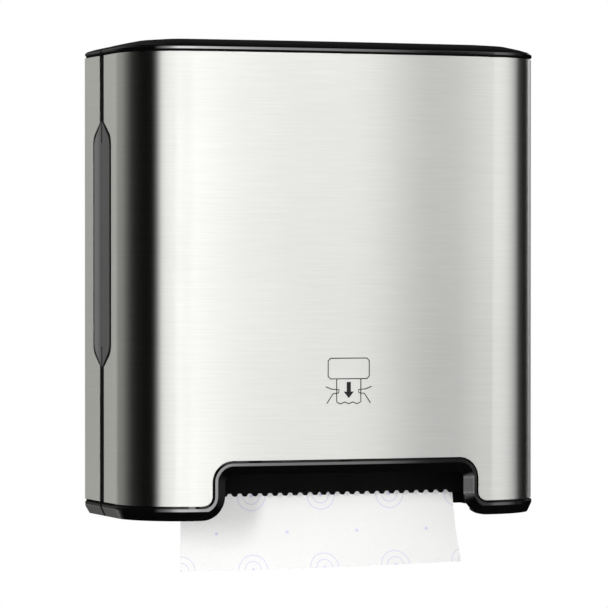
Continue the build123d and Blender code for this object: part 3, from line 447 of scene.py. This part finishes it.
FINISHES = {
    build.__name__: finish(build.__name__, build)
    for build in (
        brushed_steel,
        gloss_black,
        casing_black,
        matt_black_painted_shade,
        groove_black,
        smoked_window,
        mechanism_grey,
        clip_grey,
        feed_wheel_grey,
        rubber,
        shaft_steel,
        zinc,
        lock_metal,
        paper_sides,
        towel_paper,
        cardboard,
        mark_grey,
    )
}
FINISHES["paper"] = FINISHES["paper_sides"]


# Pieces
def add_piece(name, shape, body, slot, finish_name=None):
    """A finished piece from a bmesh, riding on its body."""
    mesh = bpy.data.meshes.new(name)
    shape.to_mesh(mesh)
    shape.free()
    piece = bpy.data.objects.new(name, mesh)
    bpy.context.scene.collection.objects.link(piece)
    mesh.materials.append(FINISHES[finish_name or slot])
    mesh.shade_smooth()
    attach(piece, body)
    return piece


def settle_normals(piece):
    """Flat faces shade flat and the broken edges take the turn."""
    weighted = piece.modifiers.new("weighted_normals", "WEIGHTED_NORMAL")
    weighted.mode = "FACE_AREA"
    weighted.keep_sharp = True
    graph = bpy.context.evaluated_depsgraph_get()
    settled = piece.evaluated_get(graph)
    mesh = bpy.data.meshes.new_from_object(settled, preserve_all_data_layers=True, depsgraph=graph)
    piece.modifiers.clear()
    piece.data = mesh


MERGE = 2e-6
FLAT_LIMIT = math.radians(0.05)
BROKEN_EDGE = {
    "brushed_steel": 0.25 * MM,
    "gloss_black": 0.15 * MM,
    "smoked_window": 0.4 * MM,
    "casing_black": 0.4 * MM,
    "mechanism_grey": 0.4 * MM,
    "feed_wheel_grey": 0.4 * MM,
    "rubber": 0.25 * MM,
    "cardboard": 0.15 * MM,
}
FINE_EDGE = 0.2 * MM
EDGE_STEPS = 3
SHARP = math.radians(28)
SHARP_GLOSS = math.radians(20)
SHADED_OUTLET_PIECES = {"tear_bar", "chute_panel", "cheek_left", "cheek_right"}
GROOVE_REACH = 1.95 * MM
SEAM_REACH = 5.2 * MM
THROAT_HALF = 118 * MM
THROAT_Y = -124.6 * MM
STRIP_FACING = 0.7
# Index of the material that paints shade on a piece's faces.
PAINTED_SHADE_SLOT = 1


def tree_of(nodes):
    """The CAD faces of some nodes, to measure distances from."""
    shape = bmesh.new()
    for node in nodes:
        shape.from_mesh(frame["nodes"][node].data)
    tree = BVHTree.FromBMesh(shape)
    shape.free()
    return tree


steel_faces = tree_of(("front_panel", "rear_side_panel_left", "rear_side_panel_right"))


def paint_groove_shade(piece):
    """Painted shade: give the groove's matt black to the faces of a gloss piece that line the groove along
    the steel.
    """
    piece.data.materials.append(FINISHES["groove_black"])
    corners = piece.data.vertices
    near = [steel_faces.find_nearest(corner.co, SEAM_REACH)[0] is not None for corner in corners]
    for face in piece.data.polygons:
        lines_groove = steel_faces.find_nearest(face.center, GROOVE_REACH)[0] is not None
        if lines_groove and all(near[corner] for corner in face.vertices):
            face.material_index = PAINTED_SHADE_SLOT


def paint_throat_shade(piece):
    """Painted shade: give the groove's matt black to the back of the lip round the towel's notch."""
    for face in piece.data.polygons:
        if abs(face.center.x) < THROAT_HALF and face.center.y > THROAT_Y:
            face.material_index = PAINTED_SHADE_SLOT


def paint_strip_shade(piece):
    """Painted shade: give the matt black to the strip along the seam and round the window, which faces out to
    the side.
    """
    piece.data.materials.append(FINISHES["matt_black_painted_shade"])
    for face in piece.data.polygons:
        if face.normal.x * math.copysign(1, face.center.x) > STRIP_FACING:
            face.material_index = PAINTED_SHADE_SLOT


def dress(node):
    """A copy of a CAD node with its sharp edges broken."""
    slot = SLOT_OF[node]
    shape = bmesh.new()
    shape.from_mesh(frame["nodes"][node].data)
    bmesh.ops.remove_doubles(shape, verts=shape.verts, dist=MERGE)
    bmesh.ops.dissolve_limit(shape, angle_limit=FLAT_LIMIT, verts=shape.verts, edges=shape.edges)
    limit = SHARP_GLOSS if slot == "gloss_black" else SHARP
    sharp = [edge for edge in shape.edges if edge.is_manifold and edge.calc_face_angle() > limit]
    bmesh.ops.bevel(
        shape,
        geom=sharp,
        offset=BROKEN_EDGE.get(slot, FINE_EDGE),
        offset_type="OFFSET",
        affect="EDGES",
        segments=EDGE_STEPS,
        profile=0.5,
        material=-1,
    )
    # Painted shade: the pieces round the outlet take the matt black, so that they read as in shadow.
    painted_shade_finish = "matt_black_painted_shade" if node in SHADED_OUTLET_PIECES else None
    piece = add_piece(f"{node}_finished", shape, BODY_OF[node], slot, painted_shade_finish)
    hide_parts(node)
    settle_normals(piece)
    # Painted shade: the gloss pieces get it in their groove and behind the notch's lip, the casing and cover
    # frame on their strip.
    if slot == "gloss_black":
        paint_groove_shade(piece)
        if node == "cover_bottom_trim":
            paint_throat_shade(piece)
    elif node in ("rear_casing", "cover_frame"):
        paint_strip_shade(piece)


MODELLED_HERE = {"towel_tail", "paper_roll", "plunger_spring", "pinch_springs"}
for name in frame["nodes"]:
    if name not in MODELLED_HERE:
        dress(name)


# Towel: from the roll, round the drum and down through the notch
LEAVES_ROLL = Vector((-14.24, 44.92)) * MM
MEETS_DRUM = Vector((-65.07, -109.07)) * MM
DRUM_AXIS = Vector((-38, -118)) * MM
WRAP_RADIUS = 28.5 * MM
FREE_FROM_Z = -150 * MM
TOWEL_THICK = 0.35 * MM
TOWEL_MIDDLE_X = -2.4 * MM
CURL_LEFT = 0.0
CURL_RIGHT = 6.75
RIPPLE = 0.5 * MM
RIPPLE_TURN = 5.0
RIPPLE_START = 0.6
RIPPLE_REACH = 60 * MM
TOWEL_COLUMNS = 60
TOWEL_ROWS = 190


def towel_place(side, run):
    """Y and Z of the sheet at a distance along it. side runs from -1 at the left edge to 1 at the right."""
    approach = MEETS_DRUM - LEAVES_ROLL
    if run < approach.length:
        return LEAVES_ROLL + approach * (run / approach.length)
    run -= approach.length
    start = (MEETS_DRUM - DRUM_AXIS).normalized()
    contact = math.atan2(start.y, -start.x)
    if run < contact * WRAP_RADIUS:
        angle = contact - run / WRAP_RADIUS
        return DRUM_AXIS + Vector((-math.cos(angle), math.sin(angle))) * WRAP_RADIUS
    run -= contact * WRAP_RADIUS
    leaves = Vector((DRUM_AXIS.x - WRAP_RADIUS, DRUM_AXIS.y))
    straight = leaves.y - FREE_FROM_Z
    if run < straight:
        return leaves - Vector((0, run))
    run -= straight
    curl = CURL_LEFT + (CURL_RIGHT - CURL_LEFT) * (side + 1) / 2
    half_turn = curl * run / 2
    chord = run * (1 - half_turn**2 / 6)
    grown = min(run / RIPPLE_REACH, 1.0) ** 2
    ripple = RIPPLE * math.sin(side * RIPPLE_TURN + RIPPLE_START) * grown
    hang = Vector((math.sin(half_turn), math.cos(half_turn))) * chord
    return Vector((leaves.x - hang.x + ripple, FREE_FROM_Z - hang.y))


towel = bmesh.new()
towel.loops.layers.uv.new("sheet")
bmesh.ops.create_grid(towel, x_segments=TOWEL_COLUMNS, y_segments=TOWEL_ROWS, size=0.5, calc_uvs=True)
for corner in towel.verts:
    along = (0.5 - corner.co.y) * TOWEL_LENGTH
    depth, height = towel_place(corner.co.x * 2, along)
    corner.co = Vector((corner.co.x * TOWEL_WIDTH + TOWEL_MIDDLE_X, depth, height))
for edge in towel.edges:
    edge.smooth = not edge.is_boundary
towel_sheet = add_piece("towel_sheet", towel, "casing", "paper", "towel_paper")
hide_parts("towel_tail")
paper_body = towel_sheet.modifiers.new("paper_thickness", "SOLIDIFY")
paper_body.thickness = TOWEL_THICK
paper_body.offset = 0


# Roll: a spun profile with soft rims
def spun(profile, centre, steps):
    """A closed ring spun about an axis along X. The profile is (x, radius) points round its section."""
    shape = bmesh.new()
    corners = [shape.verts.new((x, centre[0], centre[1] + radius)) for x, radius in profile]
    edges = [shape.edges.new((corners[i - 1], corners[i])) for i in range(len(corners))]
    bmesh.ops.spin(
        shape,
        geom=corners + edges,
        cent=(0, centre[0], centre[1]),
        axis=(1, 0, 0),
        angle=2 * math.pi,
        steps=steps,
        use_merge=True,
    )
    bmesh.ops.remove_doubles(shape, verts=shape.verts, dist=MERGE)
    bmesh.ops.recalc_face_normals(shape, faces=shape.faces)
    return shape


ROLL_HALF = 114 * MM
ROLL_RADIUS = 54 * MM
ROLL_BORE = 20.55 * MM
RIM_SOFT = 1.4 * MM
RIM_MIDDLE = RIM_SOFT * 0.3
ROLL_STEPS = 96
roll_section = (
    (-ROLL_HALF, ROLL_BORE),
    (ROLL_HALF, ROLL_BORE),
    (ROLL_HALF, ROLL_RADIUS - RIM_SOFT),
    (ROLL_HALF - RIM_MIDDLE, ROLL_RADIUS - RIM_MIDDLE),
    (ROLL_HALF - RIM_SOFT, ROLL_RADIUS),
    (-ROLL_HALF + RIM_SOFT, ROLL_RADIUS),
    (-ROLL_HALF + RIM_MIDDLE, ROLL_RADIUS - RIM_MIDDLE),
    (-ROLL_HALF, ROLL_RADIUS - RIM_SOFT),
)
roll = add_piece("towel_roll", spun(roll_section, ROLL_AXIS, ROLL_STEPS), "roll", "paper")
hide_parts("paper_roll")
settle_normals(roll)


# Springs
COIL_TURNS = 6
COIL_STEPS = 20
WIRE_SIDES = 10


def coil(shape, ends, centre, radius, wire):
    """A helix of round wire about an axis along X, between two ends, added to a bmesh."""
    start_x = ends[0] + wire / 2
    length = ends[1] - ends[0] - wire
    upright = Matrix.Rotation(math.pi / 2, 4, "X")
    start = Matrix.Translation((start_x, centre[0], centre[1] + radius)) @ upright
    ring = bmesh.ops.create_circle(shape, segments=WIRE_SIDES, radius=wire / 2, matrix=start)
    edges = list({edge for vert in ring["verts"] for edge in vert.link_edges})
    count = COIL_STEPS * COIL_TURNS
    swept = bmesh.ops.spin(
        shape,
        geom=ring["verts"] + edges,
        cent=(start_x, centre[0], centre[1]),
        axis=(1, 0, 0),
        dvec=(length / count, 0, 0),
        angle=2 * math.pi * COIL_TURNS,
        steps=count,
    )
    bmesh.ops.contextual_create(shape, geom=edges)
    end_ring = [part for part in swept["geom_last"] if isinstance(part, bmesh.types.BMEdge)]
    bmesh.ops.contextual_create(shape, geom=end_ring)


PLUNGER_SPRING_X = (107.2 * MM, 135.8 * MM)
PLUNGER_SPRING_RADIUS = 9.75 * MM
PLUNGER_WIRE = 2.0 * MM
shape = bmesh.new()
coil(shape, PLUNGER_SPRING_X, ROLL_AXIS, PLUNGER_SPRING_RADIUS, PLUNGER_WIRE)
bmesh.ops.recalc_face_normals(shape, faces=shape.faces)
plunger_coil = add_piece("plunger_coil", shape, "casing", "shaft_steel")
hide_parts("plunger_spring")
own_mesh(plunger_coil)

PINCH_SPRING_X = (104.5 * MM, 115 * MM)
PINCH_PIVOT = (-70 * MM, -80 * MM)
PINCH_SPRING_RADIUS = 4.4 * MM
PINCH_WIRE = 1.3 * MM
shape = bmesh.new()
inner, outer = PINCH_SPRING_X
for ends in ((inner, outer), (-outer, -inner)):
    coil(shape, ends, PINCH_PIVOT, PINCH_SPRING_RADIUS, PINCH_WIRE)
bmesh.ops.recalc_face_normals(shape, faces=shape.faces)
pinch_coils = add_piece("pinch_coils", shape, "casing", "shaft_steel")
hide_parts("pinch_springs")


# Clip tabs of the caps, which show in the dark groove along the steel: X, Y, Z, width and height in mm
TAB_DEPTH = 1.6 * MM
TAB_EDGE = 0.15 * MM
DARK_TABS = (
    (-125, -127.0, 175.4, 9.2, 1.1),
    (-1.5, -131.6, 175.4, 9.2, 1.1),
    (122.3, -127.4, 175.4, 9.2, 1.1),
    (-75.7, -130.0, -141.4, 9.2, 1.1),
    (-1.5, -131.6, -141.4, 9.2, 1.1),
    (-121.7, -127.6, -176.1, 2.8, 1.6),
    (122.5, -127.4, -176.1, 9.2, 1.1),
)
FOOT_CLIP = ((-126.3, -127.0, -176.1, 5.7, 1.5),)


def blocks(tabs):
    """Small blocks with broken edges."""
    shape = bmesh.new()
    for x, y, z, width, height in tabs:
        size = Matrix.Diagonal((width * MM, TAB_DEPTH, height * MM, 1))
        bmesh.ops.create_cube(shape, size=1, matrix=Matrix.Translation(Vector((x, y, z)) * MM) @ size)
    bmesh.ops.bevel(
        shape, geom=list(shape.edges), offset=TAB_EDGE, affect="EDGES", segments=2, profile=0.5, material=-1
    )
    return shape


clip_tabs = add_piece("clip_tabs", blocks(DARK_TABS), "cover", "gloss_black", "matt_black_painted_shade")
settle_normals(clip_tabs)
foot_clip = add_piece("foot_clip", blocks(FOOT_CLIP), "cover", "mechanism_grey", "clip_grey")
settle_normals(foot_clip)


# Usage mark printed on the steel: a case, a sheet with a wavy edge, two pinching hands and an arrow
MARK_Y = -131.45 * MM
MARK_MIDDLE_Z = -81 * MM
MARK_LINE = 0.4 * MM
MARK_FILM = 0.03 * MM
MARK_STROKES = (
    ((-15, 19), (15, 19), (17, 17), (17, 5), (15, 3), (-15, 3), (-17, 5), (-17, 17), (-15, 19)),
    (
        (-10, 3), (-10, -15), (-6.7, -16.5), (-3.3, -15), (0, -16.5), (3.3, -15), (6.7, -16.5), (10, -15),
        (10, 3),
    ),
    ((-19, -3), (-14, -5), (-8, -5.5), (-8.5, -8), (-13, -8.5), (-16, -13), (-18, -16)),
    ((19, -3), (14, -5), (8, -5.5), (8.5, -8), (13, -8.5), (16, -13), (18, -16)),
)
MARK_ARROW = ((-1.7, 0.5), (1.7, 0.5), (1.7, -7), (4.2, -7), (0, -12), (-4.2, -7), (-1.7, -7))


def printed(drawing):
    """A curve drawn flat in X and Y, as a film stood up on the steel's face."""
    holder = bpy.data.objects.new("drawing", drawing)
    bpy.context.scene.collection.objects.link(holder)
    graph = bpy.context.evaluated_depsgraph_get()
    mesh = bpy.data.meshes.new_from_object(holder.evaluated_get(graph))
    bpy.data.objects.remove(holder)
    film = bmesh.new()
    film.from_mesh(mesh)
    bmesh.ops.scale(film, vec=(1, 1, MARK_FILM / MARK_LINE), verts=film.verts)
    bmesh.ops.rotate(film, cent=(0, 0, 0), matrix=Matrix.Rotation(math.pi / 2, 3, "X"), verts=film.verts)
    bmesh.ops.translate(film, vec=(0, MARK_Y, MARK_MIDDLE_Z), verts=film.verts)
    return film


def stroke(drawing, points):
    """A line of the drawing through points in millimetres."""
    line = drawing.splines.new("POLY")
    line.points.add(len(points) - 1)
    for point, (across, up) in zip(line.points, points):
        point.co = (across * MM, up * MM, 0, 1)
    return line


lines = bpy.data.curves.new("mark_lines", "CURVE")
lines.dimensions = "3D"
lines.bevel_depth = MARK_LINE
lines.bevel_resolution = 2
lines.use_fill_caps = True
for points in MARK_STROKES:
    stroke(lines, points)
add_piece("usage_mark", printed(lines), "cover", "brushed_steel", "mark_grey")
arrow = bpy.data.curves.new("mark_arrow", "CURVE")
arrow.dimensions = "2D"
arrow.fill_mode = "BOTH"
arrow.extrude = MARK_LINE
stroke(arrow, MARK_ARROW).use_cyclic_u = True
add_piece("usage_arrow", printed(arrow), "cover", "brushed_steel", "mark_grey")


# Studio: azimuth 0 is straight ahead of the dispenser, and grows to its right
ROOM_LIGHT = 0.72
WARM_TURN = 0.2
WARM = (1.0, 1.0, 0.96, 1)
FRONT_LAMPS = ((-60, 0.0), (-51, 0.85), (-35, 2.6), (-20, 7.3), (9, 7.0), (12.3, 3.9), (15, 2.6))


def studio(shade):
    """White behind the object for the camera, lamps and dark flags for reflections, plain light else."""
    direction = shade.node("ShaderNodeTexCoord", output="Generated")
    x, y, z = shade.axes(direction)
    turn = shade.math("ARCTAN2", x, 0 - y) / (2 * math.pi) + 0.5
    height = z * 0.5 + 0.5

    def round_about(*stops, top):
        """Strength by azimuth, from (degrees, strength) stops."""
        return shade.ramp(turn, [(0.5 + azimuth / 360, strength / top) for azimuth, strength in stops]) * top

    lamp_row = round_about(
        (-180, 0.0), (-168, 0.18), (-150, 0.1), (-120, 0.0), *FRONT_LAMPS, (22, 2.3), (25, 0.1), (28.3, 0.1),
        (33, 1.7), (54, 1.35), (77, 0.1), (85, 0.15), (100, 0.0), top=12.0,
    )
    front_lamps = round_about(*FRONT_LAMPS, (22, 0.0), top=12.0)
    rear_left_panel = round_about(
        (-172, 0.0), (-165, 1.5), (-154, 0.7), (-138, 1.08), (-123, 0.38), (-110, 0.0), top=4.5
    )
    left_panel = round_about(
        (-58, 0.0), (-54.5, 0.8), (-49, 1.95), (-35, 2.3), (-25, 0.5), (-15, 0.03), (28.4, 0.03), (29.4, 0.0),
        top=4.5,
    )
    middle_panel = round_about(
        (7, 0.0), (13, 1.37), (17, 1.87), (20, 2.17), (22.6, 4.57), (24.5, 3.17), (25.5, 0.0), top=4.6
    )
    right_panel = round_about(
        (28.4, 0.0), (29.4, 3.0), (30.4, 4.1), (34, 2.65), (62, 2.45), (79, 1.95), (88, 0.15), (119, 0.0),
        top=4.5,
    )
    rear_glow = round_about((119, 0.0), (140, 0.015), (165, 0.025), (174, 0.08), (180, 0.0), top=4.5)
    edge_panel = round_about((119, 0.0), (125, 0.3), (131, 3.0), (140, 3.2), (146, 0.0), top=4.0)
    carpet = round_about(
        (-178, 0.0), (-170, 0.42), (-164, 0.9), (-160, 1.6), (-154, 0.8), (-145, 0.0), (-64, 0.0), (-48, 2.2),
        (-32, 0.0), (70, 0.0), (81, 0.2), (92, 0.0), top=2.5,
    )
    row_height = shade.ramp(shade.math("ABSOLUTE", z), ((0.095, 1.0), (0.115, 0.0)))
    below_row = shade.ramp(height, ((0.418, 0.0), (0.428, 1.0), (0.4425, 1.0), (0.4525, 0.0)))
    upper_half = shade.ramp(height, ((0.5, 0.0), (0.505, 0.45), (0.5475, 0.45), (0.5575, 0.0)))
    panel_height = shade.ramp(height, ((0.548, 0.0), (0.557, 1.0), (0.85, 1.0), (0.94, 0.1)))
    edge_height = shade.ramp(height, ((0.548, 0.0), (0.557, 1.0), (0.67, 1.0), (0.71, 0.0)))
    carpet_height = shade.ramp(height, ((0.25, 0.0), (0.443, 1.0), (0.452, 0.0)))
    rows = lamp_row * row_height + front_lamps * (below_row + upper_half)
    panels = rear_left_panel + left_panel + middle_panel + right_panel + rear_glow
    reflected = rows + panels * panel_height + edge_panel * edge_height + carpet * carpet_height
    path = shade.node("ShaderNodeLightPath", output="Is Camera Ray").socket.node
    camera_ray = Shade(shade.tree, path.outputs["Is Camera Ray"])
    glossy_ray = Shade(shade.tree, path.outputs["Is Glossy Ray"])
    strength = camera_ray + (1 - camera_ray) * (glossy_ray * reflected + (1 - glossy_ray) * ROOM_LIGHT)
    tint = shade.blend((turn < WARM_TURN) * glossy_ray, grey(1), WARM)
    return shade.node("ShaderNodeBackground", sockets={"Color": tint, "Strength": strength})


world = bpy.data.worlds.new("studio")
bpy.context.scene.world = world
world.use_nodes = True
world.node_tree.nodes.clear()
room = Shade(world.node_tree)
room.node("ShaderNodeOutputWorld", sockets={"Surface": studio(room)})


def soft_lamp(name, place, aim, width, height, watts):
    """A lamp that lights the paper and the mouldings, and shows in no reflection."""
    data = bpy.data.lights.new(name, "AREA")
    data.shape = "RECTANGLE"
    data.size = width
    data.size_y = height
    data.energy = watts
    lamp = bpy.data.objects.new(name, data)
    lamp.location = place
    lamp.rotation_euler = (Vector(aim) - Vector(place)).to_track_quat("-Z", "Y").to_euler()
    lamp.visible_glossy = False
    lamp.visible_camera = False
    bpy.context.scene.collection.objects.link(lamp)


soft_lamp("front_lamp", place=(-1.69, -2.0, 0.35), aim=(0, 0, -0.05), width=0.25, height=0.9, watts=25)
soft_lamp("right_lamp", place=(0.7, -0.6, -0.5), aim=(0.05, -0.07, -0.19), width=0.5, height=0.5, watts=5)


def pale_floor(shade):
    """White to the camera, pale grey to the light."""
    speckle = shade.noise(shade.place(), 30.0, 2.0)
    colour = shade.ramp(speckle, ((0.3, grey(0.78)), (0.7, grey(0.82))))
    plain = shade.node("ShaderNodeBsdfDiffuse", sockets={"Color": colour})
    white = shade.node("ShaderNodeEmission", sockets={"Color": grey(1), "Strength": 1.0})
    seen = shade.node("ShaderNodeLightPath", output="Is Camera Ray")
    return shade.node("ShaderNodeMixShader", sockets={0: seen, 1: plain, 2: white})


FLOOR_HALF = 1.6
FLOOR_MIDDLE = Matrix.Translation((0, -0.4, -1.15))
shape = bmesh.new()
bmesh.ops.create_grid(shape, x_segments=1, y_segments=1, size=FLOOR_HALF, matrix=FLOOR_MIDDLE)
floor_mesh = bpy.data.meshes.new("floor")
shape.to_mesh(floor_mesh)
shape.free()
floor_mesh.materials.append(finish("pale_floor", pale_floor))
floor = bpy.data.objects.new("floor", floor_mesh)
floor.visible_glossy = False
bpy.context.scene.collection.objects.link(floor)

# Camera, as fitted to the photograph
FOCAL_LENGTH = 219.6
SENSOR_WIDTH = 36
CAMERA_PLACE = (-0.9896, -2.8368, 0.0057)
CAMERA_DIP = math.radians(0.51)
CAMERA_TURN = math.radians(-19.4)
FAR_END = 20
lens = bpy.data.cameras.new("camera")
lens.lens = FOCAL_LENGTH
lens.sensor_width = SENSOR_WIDTH
lens.clip_end = FAR_END
camera = bpy.data.objects.new("camera", lens)
camera.location = CAMERA_PLACE
camera.rotation_euler = (math.pi / 2 - CAMERA_DIP, 0, CAMERA_TURN)
bpy.context.scene.collection.objects.link(camera)
bpy.context.scene.camera = camera
bpy.context.scene.view_settings.view_transform = "Standard"
